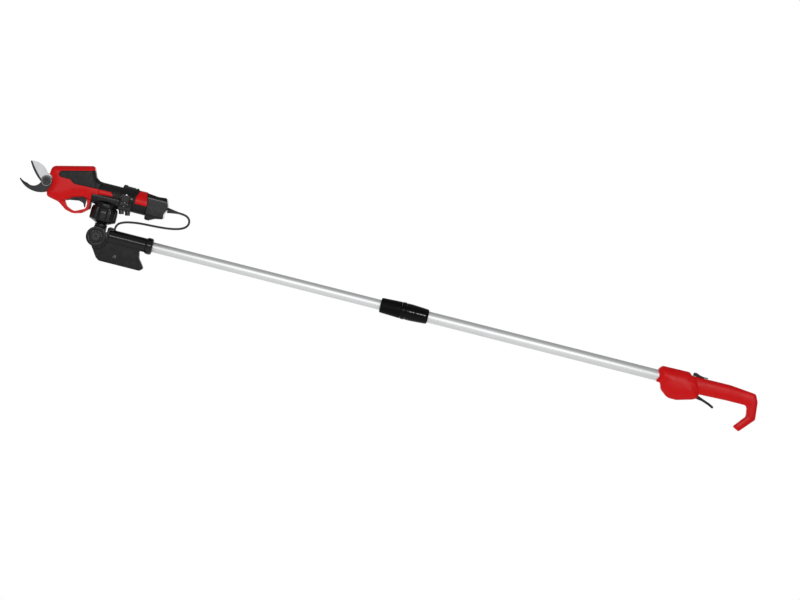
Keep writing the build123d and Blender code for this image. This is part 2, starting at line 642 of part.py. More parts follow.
def build_blades():
    x, z = PIVOT
    hook = curved_plate(
        (x - 11.5, z - 5),
        [
            ((-1576, 70.3), (-1598, 70)), ((-1607, 72), (-1614.5, 76.8)), ((-1616.3, 75.6), (-1615.3, 73.6)),
            ((-1587, 56.5), (-1551, 61.5)), ((x + 10, z - 18),), ((x + 38, z - 14),), ((x + 38, z + 12),),
            ((x + 9, z + 9),), ((x - 8, z + 9.6), (x - 11.5, z - 5)),
        ],
        FIXED_NEAR_Y, -BLADE_GAP,
    )
    hook = hook - rod_y(4.0, -20, 20, x, z)
    for hole_x in (x + 19, x + 31):
        hook = hook - rod_y(2.05, -20, 20, hole_x, z)
    save("fixed_blade", hook)
    cheek = curved_plate(
        (x - 11.5, z - 4.8),
        [
            ((-1589, 97.5), (-1602.3, 117)), ((-1602.2, 118.9), (-1600.2, 119.3)),
            ((-1580, 118), (x - 2, z + 17.5)), ((x + 10, z + 13), (x + 12.3, z)),
            ((x, z - 12.3), (x - 11.5, z - 4.8)),
        ],
        BLADE_GAP, MOVING_FAR_Y,
    )
    save("moving_blade", cheek - rod_y(BLADE_HOLE_R, -20, 20, x, z))
    root = GEAR_MODULE * (SECTOR_TEETH / 2 - 1.15)
    sector = rod_y(root, MOVING_FAR_Y, GEAR_FAR_Y, x, z)
    first, last = (math.radians(angle) for angle in SECTOR_SPAN)
    keep = slab(
        [(x, z, 0), (x + 60 * math.cos(last), z + 60 * math.sin(last), 0),
         (x + 70, z - 40, 0), (x + 30 * math.cos(first), z + 30 * math.sin(first), 0)],
        MOVING_FAR_Y, GEAR_FAR_Y,
    )
    sector = (sector & keep) + rod_y(10.0, MOVING_FAR_Y, GEAR_FAR_Y, x, z)
    for tooth in tooth_ring(SECTOR_TEETH, -7, 1, PIVOT, 0.0):
        sector = sector + tooth
    save("sector_gear", sector - rod_y(BLADE_HOLE_R, -20, 20, x, z))
    centre = (PINION_X, z)
    pinion = rod_y(GEAR_MODULE * (PINION_TEETH / 2 - 1.15), MOVING_FAR_Y, GEAR_FAR_Y, *centre)
    for tooth in tooth_ring(PINION_TEETH, 0, PINION_TEETH - 1, centre, 15.0):
        pinion = pinion + tooth
    save("drive_pinion", pinion + rod_y(2.5, GEAR_FAR_Y, 14.0, *centre))
    bolt = rod_y(8.5, FIXED_NEAR_Y - 4, FIXED_NEAR_Y, x, z) + rod_y(4.0, FIXED_NEAR_Y, 13, x, z)
    socket = Plane.XZ.offset(-FIXED_NEAR_Y + 1) * Pos(x, z) * RegularPolygon(4.0, 6)
    save("pivot_bolt", bolt - extrude(socket, 10, dir=(0, -1, 0)))
    nut = Plane.XZ.offset(-12.5) * Pos(x, z) * RegularPolygon(7.5, 6)
    save("pivot_nut", extrude(nut, 4.8, dir=(0, -1, 0)) - rod_y(4.0, 0, 20, x, z))


# ---------------------------------------------------------------- pruner trigger and latch
PRUNER_TRIGGER_PIVOT = (-1501.0, 60.5)


def build_pruner_controls():
    x, z = PRUNER_TRIGGER_PIVOT
    trigger = slab(
        [(-1506, 54.5, 2), (-1506.3, 64, 4), (-1478, 66.5, 8), (-1462.2, 66.5, 1), (-1461.4, 46.5, 0.8),
         (-1463.5, 48.5, 0.4), (-1467.5, 56.5, 6), (-1477, 59.3, 8), (-1490, 57.3, 20)],
        -6.0, 6.0,
    )
    save("pruner_trigger", trigger - rod_y(SCREW_HOLE_R, -10, 10, x, z))
    save("pruner_trigger_pin", rod_y(1.5, -8.5, 8.5, x, z))
    save("pruner_trigger_spring", rod_z(2.0, 66.7, 70.5, -1490))
    latch = block(-1327.6, -1318.6, -8, 8, 54.2, 62)
    save("battery_latch", latch)


# ---------------------------------------------------------------- lead outside the pole
CORD_ROUTE = [
    (-1262, 0, 86.5), (-1245.5, 0, 86.5), (-1233.5, 0.5, 80.2), (-1230.5, 1.5, 68.5), (-1237.2, 1.5, 58.2),
    (-1253, 0, 51.2), (-1277, -2, 47), (-1306, -3, 45), (-1336, -2, 43.8), (-1356, -1, 40.8),
    (-1368.5, 0, 38.0), (-1379.5, 0, 33.0), (-1384, 0, 28), (GLAND_X, 0, 22), (GLAND_X, 0, GLAND_TOP),
]
CORD_SPLIT = 6


def bend_radii(points):
    """Each bend as round as the shorter of its two runs allows."""
    radii = []
    for before, here, after in zip(points, points[1:], points[2:]):
        run_in = Vector(*here) - Vector(*before)
        run_out = Vector(*after) - Vector(*here)
        half_turn = math.radians(run_in.get_angle(run_out)) / 2
        radii.append(0.45 * min(run_in.length, run_out.length) / math.tan(half_turn))
    return radii


def build_cord():
    """The limp lead from the battery end down to the pole, in two lengths that meet."""
    radii = bend_radii(CORD_ROUTE)
    print("cord bend radii", [round(radius, 1) for radius in radii])
    print("least radius", round(min(radii), 1), "wanted", LIMP_CORD_LEAST_RADIUS)
    middle = tuple((a + b) / 2 for a, b in zip(CORD_ROUTE[CORD_SPLIT], CORD_ROUTE[CORD_SPLIT + 1]))
    lengths = (
        ("cord_upper", CORD_ROUTE[:CORD_SPLIT + 1] + [middle], radii[:CORD_SPLIT]),
        ("cord_lower", [middle] + CORD_ROUTE[CORD_SPLIT + 1:], radii[CORD_SPLIT:]),
    )
    total = 0.0
    for name, points, corner_radii in lengths:
        path = FilletPolyline(*points, radius=corner_radii)
        tube = sweep(Plane(path @ 0, z_dir=path % 0) * Circle(CORD_R), path=path)
        total += path.length
        print(name, "volume over section x length", tube.volume / (math.pi * CORD_R**2 * path.length))
        save(name, tube)
    print("cord length", round(total, 1))
    boot_half = Polyline((-1284, 0), (-1284, 6), (-1279, 6), (-1262, 3.0), (-1262, 0), close=True)
    boot = revolve(Plane.XZ * make_face(boot_half), Axis.X)
    save("cord_boot", Pos(0, 0, CORD_ROUTE[0][2]) * boot)


build_hand_grip()
build_lever()
build_pole()
build_lock()
build_bracket()
build_neck()
casing = build_casing()
build_saddle(casing)
build_inside()
build_blades()
build_pruner_controls()
build_cord()
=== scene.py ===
"""Cordless pruner on a telescopic pole: the looks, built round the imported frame.

Blender's objects are in metres, +Z up. The outlines, sections and routes written here are in
millimetres, and MM turns them into metres.
"""

import json
import math

import bmesh
import bpy
import numpy
from mathutils import Matrix, Vector

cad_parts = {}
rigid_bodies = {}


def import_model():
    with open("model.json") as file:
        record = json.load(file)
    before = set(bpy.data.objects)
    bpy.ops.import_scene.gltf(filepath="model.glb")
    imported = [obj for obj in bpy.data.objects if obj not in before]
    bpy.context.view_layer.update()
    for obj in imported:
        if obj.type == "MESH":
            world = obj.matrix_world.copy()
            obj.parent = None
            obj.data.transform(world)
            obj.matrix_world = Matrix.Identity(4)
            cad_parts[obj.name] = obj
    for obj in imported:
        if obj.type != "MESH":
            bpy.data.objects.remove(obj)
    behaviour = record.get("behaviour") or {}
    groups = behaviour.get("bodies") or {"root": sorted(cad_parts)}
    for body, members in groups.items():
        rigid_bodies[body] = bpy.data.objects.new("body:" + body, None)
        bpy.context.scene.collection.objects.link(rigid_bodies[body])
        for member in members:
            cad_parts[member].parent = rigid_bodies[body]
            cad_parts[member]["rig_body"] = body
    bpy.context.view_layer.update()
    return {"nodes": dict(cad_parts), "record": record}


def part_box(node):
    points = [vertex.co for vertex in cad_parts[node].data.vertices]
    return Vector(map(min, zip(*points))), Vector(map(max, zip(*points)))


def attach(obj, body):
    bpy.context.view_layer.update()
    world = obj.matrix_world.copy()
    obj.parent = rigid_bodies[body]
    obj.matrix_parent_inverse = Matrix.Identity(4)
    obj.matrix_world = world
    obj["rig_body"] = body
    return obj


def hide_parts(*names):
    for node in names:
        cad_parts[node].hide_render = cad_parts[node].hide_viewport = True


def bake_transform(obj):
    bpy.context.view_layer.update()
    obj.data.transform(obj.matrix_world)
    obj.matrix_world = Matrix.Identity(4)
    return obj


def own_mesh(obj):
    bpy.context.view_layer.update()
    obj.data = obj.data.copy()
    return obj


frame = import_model()
nodes = frame["nodes"]
slot_of = {part["node"]: part["material_slot"] for part in frame["record"]["subparts"]}
scene = bpy.context.scene
MM = 0.001


# ------------------------------------------------------------------ camera
POLE_TILT = math.radians(14.228)
VIEW_CENTRE = Vector((-0.740, 0.0, 0.021))
VIEW_DISTANCE = 8.0
VIEW_WIDTH = 1.76
VIEW_END = 50.0
SENSOR_WIDTH = 36.0


def make_camera():
    """Looks along +Y with the pole sloping down to the right across the frame."""
    data = bpy.data.cameras.new("camera")
    data.sensor_width = SENSOR_WIDTH
    data.lens = data.sensor_width * VIEW_DISTANCE / VIEW_WIDTH
    data.clip_end = VIEW_END
    camera = bpy.data.objects.new("camera", data)
    right = Vector((math.cos(POLE_TILT), 0, math.sin(POLE_TILT)))
    up = Vector((-math.sin(POLE_TILT), 0, math.cos(POLE_TILT)))
    back = right.cross(up)
    turn = Matrix((right, up, back)).transposed().to_4x4()
    camera.matrix_world = Matrix.Translation(VIEW_CENTRE + back * VIEW_DISTANCE) @ turn
    scene.collection.objects.link(camera)
    scene.camera = camera


# ------------------------------------------------------------------ lights and floor
WHITE = (1.0, 1.0, 1.0, 1.0)
WORLD_LIGHT = 0.38
WORLD_SEEN = 1.0
# Each lamp's name, its place from the view's centre, its width and height, and its power in watts.
LAMPS = [
    ("strip", (0, -2.6, 0.44), 3.6, 0.26, 36),
    ("front", (0, -2.8, 0.05), 4.2, 2.4, 4),
    ("behind", (0, 2.8, 0.3), 4.2, 2.4, 30),
]
FLOOR_HEIGHT = -1.4
FLOOR_SIZE = (12.0, 8.4, 1.0)
FLOOR_COLOUR = (0.88, 0.88, 0.88)
FLOOR_GLOW = 0.25


def area_light(name, place, target, width, height, power):
    """A soft rectangular lamp at a place, facing a target, that the camera doesn't see."""
    data = bpy.data.lights.new(name, "AREA")
    data.shape = "RECTANGLE"
    data.size = width
    data.size_y = height
    data.energy = power
    lamp = bpy.data.objects.new(name, data)
    lamp.location = place
    lamp.rotation_euler = (target - place).to_track_quat("-Z", "Y").to_euler()
    lamp.visible_camera = False
    scene.collection.objects.link(lamp)


def make_world():
    """White surroundings, brighter where the camera sees them than where they light the object."""
    world = bpy.data.worlds.new("studio")
    world.use_nodes = True
    tree = world.node_tree
    lit = tree.nodes["Background"]
    seen = tree.nodes.new("ShaderNodeBackground")
    for background, strength in ((lit, WORLD_LIGHT), (seen, WORLD_SEEN)):
        background.inputs["Color"].default_value = WHITE
        background.inputs["Strength"].default_value = strength
    path = tree.nodes.new("ShaderNodeLightPath")
    mix = tree.nodes.new("ShaderNodeMixShader")
    tree.links.new(path.outputs["Is Camera Ray"], mix.inputs[0])
    tree.links.new(lit.outputs[0], mix.inputs[1])
    tree.links.new(seen.outputs[0], mix.inputs[2])
    tree.links.new(mix.outputs[0], tree.nodes["World Output"].inputs["Surface"])
    scene.world = world
    scene.view_settings.view_transform = "Standard"


def make_studio():
    """A long strip and a broad soft lamp in front, another lamp behind, and a pale floor."""
    make_world()
    for name, offset, width, height, power in LAMPS:
        area_light(name, VIEW_CENTRE + Vector(offset), VIEW_CENTRE, width, height, power)
    bpy.ops.mesh.primitive_plane_add(size=1, location=(VIEW_CENTRE.x, 0, FLOOR_HEIGHT))
    floor = bpy.context.object
    floor.name = "floor"
    floor.scale = FLOOR_SIZE
    paint = surface("floor_paint", FLOOR_COLOUR, roughness=0.85, grain=300, mottle=0.01)
    shader = paint.node_tree.nodes["Principled BSDF"]
    shader.inputs["Emission Color"].default_value = WHITE
    shader.inputs["Emission Strength"].default_value = FLOOR_GLOW
    floor.data.materials.append(paint)


# ------------------------------------------------------------------ materials
CLOUD_SCALE = 28.0
GLOSS_SCALE = 90.0
WEAR_SCALE = 240.0
NOISE_BAND = (0.3, 0.7)
WEAR_BAND = (0.42, 0.62)
EDGE_BAND = (0.535, 0.60)
GRAIN_SHADE = 0.8
GRAIN_SHARE = 0.35
GRAIN_STRENGTH = 0.6
COAT_ROUGHNESS = 0.12
EVEN = (1.0, 1.0, 1.0)
DRAWN_ALONG_X = (0.012, 1.0, 1.0)
DRAWN_ALONG_Z = (1.0, 1.0, 0.03)


def noise(tree, scale, axes=EVEN, detail=3.0):
    """A noise over the object's own coordinates, drawn out along an axis whose number is small."""
    where = tree.nodes.new("ShaderNodeTexCoord")
    mapping = tree.nodes.new("ShaderNodeMapping")
    mapping.inputs["Scale"].default_value = axes
    field = tree.nodes.new("ShaderNodeTexNoise")
    field.inputs["Scale"].default_value = scale
    field.inputs["Detail"].default_value = detail
    tree.links.new(where.outputs["Object"], mapping.inputs["Vector"])
    tree.links.new(mapping.outputs["Vector"], field.inputs["Vector"])
    return field.outputs["Fac"]


def spread(tree, value, low, high, band=NOISE_BAND):
    """Maps the part of a noise that lies within a band to a range of values."""
    ramp = tree.nodes.new("ShaderNodeMapRange")
    ramp.inputs["From Min"].default_value = band[0]
    ramp.inputs["From Max"].default_value = band[1]
    ramp.inputs["To Min"].default_value = low
    ramp.inputs["To Max"].default_value = high
    tree.links.new(value, ramp.inputs["Value"])
    return ramp.outputs["Result"]


def mixed(tree, share, first, second):
    """A colour between two, by a share; each is a socket or a plain colour."""
    mix = tree.nodes.new("ShaderNodeMix")
    mix.data_type = "RGBA"
    tree.links.new(share, mix.inputs["Factor"])
    for name, colour in (("A", first), ("B", second)):
        socket = [s for s in mix.inputs if s.name == name and s.type == "RGBA"][0]
        if isinstance(colour, tuple):
            socket.default_value = (*colour, 1.0)
        else:
            tree.links.new(colour, socket)
    return [s for s in mix.outputs if s.type == "RGBA"][0]


def bumped(tree, height, distance, strength):
    """A normal that a height field tips, as deep as the distance in metres."""
    bump = tree.nodes.new("ShaderNodeBump")
    bump.inputs["Distance"].default_value = distance
    bump.inputs["Strength"].default_value = strength
    tree.links.new(height, bump.inputs["Height"])
    return bump.outputs["Normal"]


def surface(
    name, colour, roughness, metallic=0.0, grain=1600.0, grain_depth=0.00006, axes=EVEN,
    mottle=0.07, gloss_spread=0.15, worn=None, coat=0.0, specular=0.5,
):
    """A finish with fine grain, a cloudy colour, an uneven gloss and, if asked, worn edges."""
    material = bpy.data.materials.new(name)
    material.use_nodes = True
    tree = material.node_tree
    shader = tree.nodes["Principled BSDF"]
    shader.inputs["Metallic"].default_value = metallic
    shader.inputs["Specular IOR Level"].default_value = specular
    shader.inputs["Coat Weight"].default_value = coat
    shader.inputs["Coat Roughness"].default_value = COAT_ROUGHNESS
    cloud = noise(tree, CLOUD_SCALE, detail=5.0)
    darker = tuple(c * (1 - mottle) for c in colour)
    lighter = tuple(min(1.0, c * (1 + mottle)) for c in colour)
    tint = mixed(tree, spread(tree, cloud, 0.0, 1.0), darker, lighter)
    fine = noise(tree, grain, axes)
    shade = tuple(c * GRAIN_SHADE for c in colour)
    tint = mixed(tree, spread(tree, fine, 0.0, GRAIN_SHARE), tint, shade)
    if worn:
        edge = tree.nodes.new("ShaderNodeNewGeometry").outputs["Pointiness"]
        raised = spread(tree, edge, 0.0, 1.0, EDGE_BAND)
        patchy = spread(tree, noise(tree, WEAR_SCALE, detail=4.0), 0.0, 1.0, WEAR_BAND)
        both = tree.nodes.new("ShaderNodeMath")
        both.operation = "MULTIPLY"
        tree.links.new(raised, both.inputs[0])
        tree.links.new(patchy, both.inputs[1])
        tint = mixed(tree, both.outputs[0], tint, worn)
    tree.links.new(tint, shader.inputs["Base Color"])
    gloss = noise(tree, GLOSS_SCALE, axes, detail=6.0)
    rough = spread(tree, gloss, roughness * (1 - gloss_spread), roughness * (1 + gloss_spread))
    tree.links.new(rough, shader.inputs["Roughness"])
    normal = bumped(tree, fine, grain_depth, GRAIN_STRENGTH)
    tree.links.new(normal, shader.inputs["Normal"])
    return material


# The record's material slots, and then the finishes that only pieces made here have.
FINISHES = {
    "red_plastic": dict(
        colour=(0.59, 0.004, 0.005), roughness=0.31, grain=2200, grain_depth=0.00003, mottle=0.06,
        worn=(0.62, 0.045, 0.04), specular=0.14,
    ),
    "black_plastic": dict(
        colour=(0.003, 0.003, 0.0032), roughness=0.19, grain=2000, grain_depth=0.000015,
        mottle=0.2, worn=(0.014, 0.014, 0.0145), specular=0.34,
    ),
    "black_grip": dict(
        colour=(0.006, 0.0058, 0.0058), roughness=0.5, grain=1300, grain_depth=0.0001,
        mottle=0.22, worn=(0.02, 0.02, 0.0205), specular=0.25,
    ),
    "tube_aluminium": dict(
        colour=(0.80, 0.805, 0.81), roughness=0.55, metallic=1.0, grain=1500,
        grain_depth=0.000002, axes=DRAWN_ALONG_X, mottle=0.02, gloss_spread=0.06,
    ),
    "blade_steel": dict(
        colour=(0.33, 0.334, 0.338), roughness=0.38, metallic=1.0, grain=1200,
        grain_depth=0.000003, axes=DRAWN_ALONG_Z, mottle=0.03, gloss_spread=0.08,
    ),
    "hook_steel": dict(
        colour=(0.020, 0.0205, 0.022), roughness=0.36, metallic=0.8, grain=1100,
        grain_depth=0.00004, mottle=0.16, worn=(0.35, 0.35, 0.36),
    ),
    "steel": dict(
        colour=(0.13, 0.13, 0.133), roughness=0.36, metallic=1.0, grain=1200,
        grain_depth=0.00004, mottle=0.1,
    ),
    "zinc_screw": dict(
        colour=(0.72, 0.72, 0.74), roughness=0.2, metallic=1.0, grain=1500,
        grain_depth=0.00002, mottle=0.06,
    ),
    "black_bolt": dict(
        colour=(0.008, 0.008, 0.009), roughness=0.33, metallic=0.35, grain=1500,
        grain_depth=0.00004, mottle=0.15, worn=(0.16, 0.16, 0.17),
    ),
    "cable_black": dict(colour=(0.014, 0.014, 0.015), roughness=0.5, grain=2600, mottle=0.2),
    "board_green": dict(colour=(0.02, 0.16, 0.06), roughness=0.4, mottle=0.15),
    "cell_wrap": dict(colour=(0.03, 0.16, 0.42), roughness=0.28, mottle=0.08, coat=0.2),
    "white_plastic": dict(colour=(0.72, 0.71, 0.68), roughness=0.45, mottle=0.05),
    "lock_black": dict(
        colour=(0.0018, 0.0018, 0.0019), roughness=0.2, grain=2000, grain_depth=0.000015,
        mottle=0.2, worn=(0.01, 0.01, 0.0105), specular=0.12,
    ),
    "nut_black": dict(
        colour=(0.0022, 0.0022, 0.0023), roughness=0.5, grain=1400, mottle=0.2,
        worn=(0.01, 0.01, 0.0105), specular=0.08,
    ),
    # The ground bevel's steel, far darker than the cheek's: painted shade where the bevel turns away
    # from the lamps.
    "ground_edge_painted_shade": dict(
        colour=(0.06, 0.062, 0.064), roughness=0.32, metallic=1.0, grain_depth=0.00004,
        axes=DRAWN_ALONG_Z, mottle=0.12,
    ),
    "mark_print": dict(colour=(0.34, 0.34, 0.335), roughness=0.5, mottle=0.12),
}


# ------------------------------------------------------------------ pieces and their meshes
WELD_GAP = 0.00001
SMOOTH_FACTOR = 0.5
SHARP_ANGLE = math.radians(38)


def piece_of(name, mesh, material, body=None, replaced=()):
    """A new piece with one material, riding on a body in place of its CAD nodes."""
    piece = bpy.data.objects.new(name, mesh)
    scene.collection.objects.link(piece)
    piece.data.materials.clear()
    piece.data.materials.append(finishes[material])
    if replaced:
        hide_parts(*replaced)
    if body:
        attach(piece, body)
    return piece


def baked(piece):
    """The piece's mesh with its modifiers applied."""
    bpy.context.view_layer.update()
    evaluated = piece.evaluated_get(bpy.context.evaluated_depsgraph_get())
    mesh = bpy.data.meshes.new_from_object(evaluated)
    piece.modifiers.clear()
    piece.data = mesh
    return mesh


def places(mesh):
    """The mesh's points as rows of x, y and z in metres."""
    flat = numpy.empty(len(mesh.vertices) * 3)
    mesh.vertices.foreach_get("co", flat)
    return flat.reshape(-1, 3)


def put_places(mesh, where):
    """Moves the mesh's points to the rows given."""
    mesh.vertices.foreach_set("co", where.reshape(-1))
    mesh.update()


def shade_smooth(mesh):
    """Shades every face of the mesh smooth."""
    mesh.polygons.foreach_set("use_smooth", [True] * len(mesh.polygons))


def mesh_from(form, name):
    """A mesh with its faces turned outward, from a bmesh that is used up."""
    bmesh.ops.recalc_face_normals(form, faces=form.faces)
    mesh = bpy.data.meshes.new(name)
    form.to_mesh(mesh)
    form.free()
    return mesh


def bridge(form, a, b):
    """A band of faces between two closed rings with as many points."""
    for step in range(len(a)):
        after = (step + 1) % len(a)
        form.faces.new((a[step], a[after], b[after], b[step]))


def add_smoothing(piece, passes):
    """A modifier that eases edges and evens out a voxel mesh."""
    ease = piece.modifiers.new("ease", "SMOOTH")
    ease.factor = SMOOTH_FACTOR
    ease.iterations = passes


def softened(node, voxel, passes, shape=None, keep=0.35, after=0):
    """A CAD node's own form with its edges eased, as a moulding or a machined part has them.

    It is remeshed at the voxel's size in millimetres and smoothed. A shape function then moves
    its points, with more smoothing after it, and keep is the share of its faces that stays.
    """
    slot = slot_of[node]
    mesh = nodes[node].data.copy()
    piece = piece_of(node + "_form", mesh, slot, nodes[node]["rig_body"], (node,))
    weld = piece.modifiers.new("weld", "WELD")
    weld.merge_threshold = WELD_GAP
    remesh = piece.modifiers.new("remesh", "REMESH")
    remesh.mode = "VOXEL"
    remesh.voxel_size = voxel * MM
    add_smoothing(piece, passes)
    mesh = baked(piece)
    if shape:
        put_places(mesh, shape(places(mesh)))
    if after:
        add_smoothing(piece, after)
        mesh = baked(piece)
    if keep < 1:
        thin = piece.modifiers.new("thin", "DECIMATE")
        thin.ratio = keep
        mesh = baked(piece)
    shade_smooth(mesh)
    mesh.materials.clear()
    mesh.materials.append(finishes[slot])
    return piece


def gap_to_run(points, a, b):
    """Distance of each point (x, z) from the straight run between two corners."""
    run = b - a
    share = numpy.clip(((points - a) @ run) / (run @ run), 0, 1)
    return numpy.linalg.norm(points - (a + share[:, None] * run), axis=1)


def line_distance(points, line):
    """Distance of each point (x, z) from an open line."""
    corners = numpy.array(line, dtype=float)
    gaps = [gap_to_run(points, a, b) for a, b in zip(corners[:-1], corners[1:])]
    return numpy.minimum.reduce(gaps)


def inside_distance(points, outline):
    """How far each point (x, z) is inside a closed outline; negative outside."""
    corners = numpy.array(outline, dtype=float)
    runs = list(zip(corners, numpy.roll(corners, -1, axis=0)))
    nearest = numpy.minimum.reduce([gap_to_run(points, a, b) for a, b in runs])
    inside = numpy.zeros(len(points), dtype=bool)
    for a, b in runs:
        if a[1] == b[1]:
            continue
        crosses = (a[1] > points[:, 1]) != (b[1] > points[:, 1])
        meets = a[0] + (b[0] - a[0]) * (points[:, 1] - a[1]) / (b[1] - a[1])
        inside ^= crosses & (points[:, 0] < meets)
    return numpy.where(inside, nearest, -nearest)


def swell(share):
    """A quarter circle, from 0 at the outline to 1 further in."""
    return numpy.sqrt(1 - (1 - numpy.clip(share, 0, 1)) ** 2)


def lathe(
    name, profile, material, body, replaced=(), segments=96, centre=(0.0, 0.0), flute=None,
    axis="X",
):
    """A turned part about an axis along X or Y, from its closed section of (along, radius)."""
    form = bmesh.new()
    rings = []
    for along, radius in profile:
        ring = []
        for step in range(segments):
            turn = 2 * math.pi * step / segments
            r = radius + (flute(along, radius, turn) if flute else 0.0)
            a, b = centre[0] + r * math.cos(turn), centre[1] + r * math.sin(turn)
            place = (along, a, b) if axis == "X" else (a, along, b)
            ring.append(form.verts.new(Vector(place) * MM))
        rings.append(ring)
    for a, b in zip(rings, rings[1:] + rings[:1]):
        bridge(form, a, b)
    mesh = mesh_from(form, name)
    piece = piece_of(name, mesh, material, body, replaced)
    shade_smooth(mesh)
    mesh.set_sharp_from_angle(angle=SHARP_ANGLE)
    return piece


def tube_mesh(name, line, radius, sides=20):
    """A round tube along a line, with closed ends."""
    form = bmesh.new()
    rings = []
    side = Vector((0, 1, 0))
    for i, here in enumerate(line):
        ahead = (line[min(i + 1, len(line) - 1)] - line[max(i - 1, 0)]).normalized()
        side = (side - ahead * side.dot(ahead)).normalized()
        other = ahead.cross(side)
        ring = []
        for step in range(sides):
            turn = 2 * math.pi * step / sides
            out = (side * math.cos(turn) + other * math.sin(turn)) * radius
            ring.append(form.verts.new(here + out))
        rings.append(ring)
    for a, b in zip(rings, rings[1:]):
        bridge(form, a, b)
    form.faces.new(rings[0])
    form.faces.new(rings[-1])
    mesh = mesh_from(form, name)
    shade_smooth(mesh)
    return mesh


# ------------------------------------------------------------------ lead outside the pole
GLAND_X = -1386.3
CORD_ROUTE = [
    (-1262, 0, 86.5), (-1245.5, 0, 86.5), (-1233.5, 0.5, 80.2), (-1230.5, 1.5, 68.5),
    (-1237.2, 1.5, 58.2), (-1253, 0, 51.2), (-1277, -2, 47), (-1306, -3, 45),
    (-1336, -2, 43.8), (-1356, -1, 40.8), (-1368.5, 0, 38.0), (-1379.5, 0, 33.0),
    (-1384, 0, 28), (GLAND_X, 0, 22), (GLAND_X, 0, 16.0),
]
CORD_R = 2.4
CORD_STEPS = 14
# Where the two tubes of the lead meet: x and z in metres.
CORD_SPLIT = (-1.2915, 0.046)
BOOT_CENTRE = (0.0, 86.5)
BOOT_BORE = 0.4
BOOT_FOOT = [(-1284, BOOT_BORE), (-1284, 6.0), (-1280.2, 6.0)]
BOOT_TIP = [(-1262.6, 2.9), (-1262, 2.75), (-1262, BOOT_BORE)]
RIBS = 5
RIB_X = -1280.2
RIB_PITCH = 3.5
RIB_R = 5.8
RIB_END_R = 3.05
# The corners of a rib and the groove before it: along from its start, and out from its radius.
RIB_SECTION = [(0.2, -0.75), (0.9, -0.75), (1.2, 0.0), (3.1, -0.25)]


def route_line():
    """Points along the smooth curve of the lead, from the battery's boot to the pole's gland."""
    data = bpy.data.curves.new("lead_route", "CURVE")
    data.dimensions = "3D"
    data.resolution_u = CORD_STEPS
    spline = data.splines.new("NURBS")
    spline.points.add(len(CORD_ROUTE) - 1)
    for point, place in zip(spline.points, CORD_ROUTE):
        point.co = (*(c * MM for c in place), 1.0)
    spline.order_u = 3
    spline.use_endpoint_u = True
    route = bpy.data.objects.new("lead_route", data)
    scene.collection.objects.link(route)
    bpy.context.view_layer.update()
    evaluated = route.evaluated_get(bpy.context.evaluated_depsgraph_get())
    mesh = bpy.data.meshes.new_from_object(evaluated)
    line = [v.co.copy() for v in mesh.vertices]
    bpy.data.objects.remove(route)
    bpy.data.meshes.remove(mesh)
    return line


def boot_profile():
    """The ribbed taper that eases the lead out of the battery case."""
    points = list(BOOT_FOOT)
    for rib in range(RIBS):
        x = RIB_X + rib * RIB_PITCH
        r = RIB_R - (rib + 0.5) * (RIB_R - RIB_END_R) / RIBS
        points += [(x + along, r + out) for along, out in RIB_SECTION]
    return points + BOOT_TIP


def make_lead():
    """The lead in two tubes, one each side of the neck, because it crosses two joints."""
    line = route_line()
    x, z = CORD_SPLIT
    halfway = min(range(len(line)), key=lambda i: abs(line[i].x - x) + abs(line[i].z - z))
    boot = lathe("lead_boot", boot_profile(), "cable_black", "pruner", ("cord_boot",),
                 segments=40, centre=BOOT_CENTRE)
    top, bottom = line[: halfway + 1], line[halfway:]
    mesh = tube_mesh("lead_from_battery", top, CORD_R * MM)
    upper = piece_of("lead_from_battery", mesh, "cable_black", replaced=("cord_upper",))
    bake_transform(upper)
    mesh = tube_mesh("lead_to_pole", bottom, CORD_R * MM)
    lower = piece_of("lead_to_pole", mesh, "cable_black", replaced=("cord_lower",))
    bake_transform(lower)


# ------------------------------------------------------------------ pole, twist lock and collar
TUBE_BORES = [("outer_tube", 11.35), ("inner_tube", 9.9)]
TUBE_EDGE = 0.35
TUBE_SEGMENTS = 128
LOCK_BORE = 12.7
NUT_X = (-779, -733)
NUT_STEPS = 40
NUT_FLARE_X = -776.0
NUT_FLARE_LENGTH = 43.0
NUT_FLARE_R = 16.6
NUT_FLARE_BY = 1.9
NUT_FOOT = [(-779.0, 11.6), (-779.0, 14.6), (-777.6, 16.2)]
NUT_HEAD = [(-733.2, 18.5), (-732.6, 18.2), (-732.5, 18.1), (-732.5, LOCK_BORE)]
NUT_SEGMENTS = 144
FLUTES = 18
FLUTE_X = (-774, -741)
FLUTE_FADE = 4
FLUTE_DEPTH = 0.35
FLUTE_LEAST_R = 15.5
LOCK_RING = [
    (-732.4, LOCK_BORE), (-732.4, 18.1), (-731.4, 18.3), (-730.4, 18.9), (-729.4, 19.3),
    (-724.4, 19.3), (-723.2, 18.8), (-722.4, 18.3), (-721.1, 18.1), (-721.1, LOCK_BORE),
]
LOCK_BODY = [
    (-721, LOCK_BORE), (-721, 18.1), (-720.4, 18.4), (-719.6, 18.6), (-709, 18.6), (-697, 17.9),
    (-685, 17.15), (-675.5, 16.5), (-673.6, 16.1), (-672.1, 15.3), (-671.2, 14.0),
    (-671, 13.2), (-671, LOCK_BORE),
]
SLEEVE_COLLAR = [
    (-1312, 11.4), (-1312, 15.8), (-1311.2, 16.6), (-1309, 18.0), (-1307, 18.5), (-1300.6, 18.5),
    (-1298.6, 17.9), (-1297.0, 16.6), (-1296.2, 15.6), (-1296, 14.9), (-1296, 11.4),
]


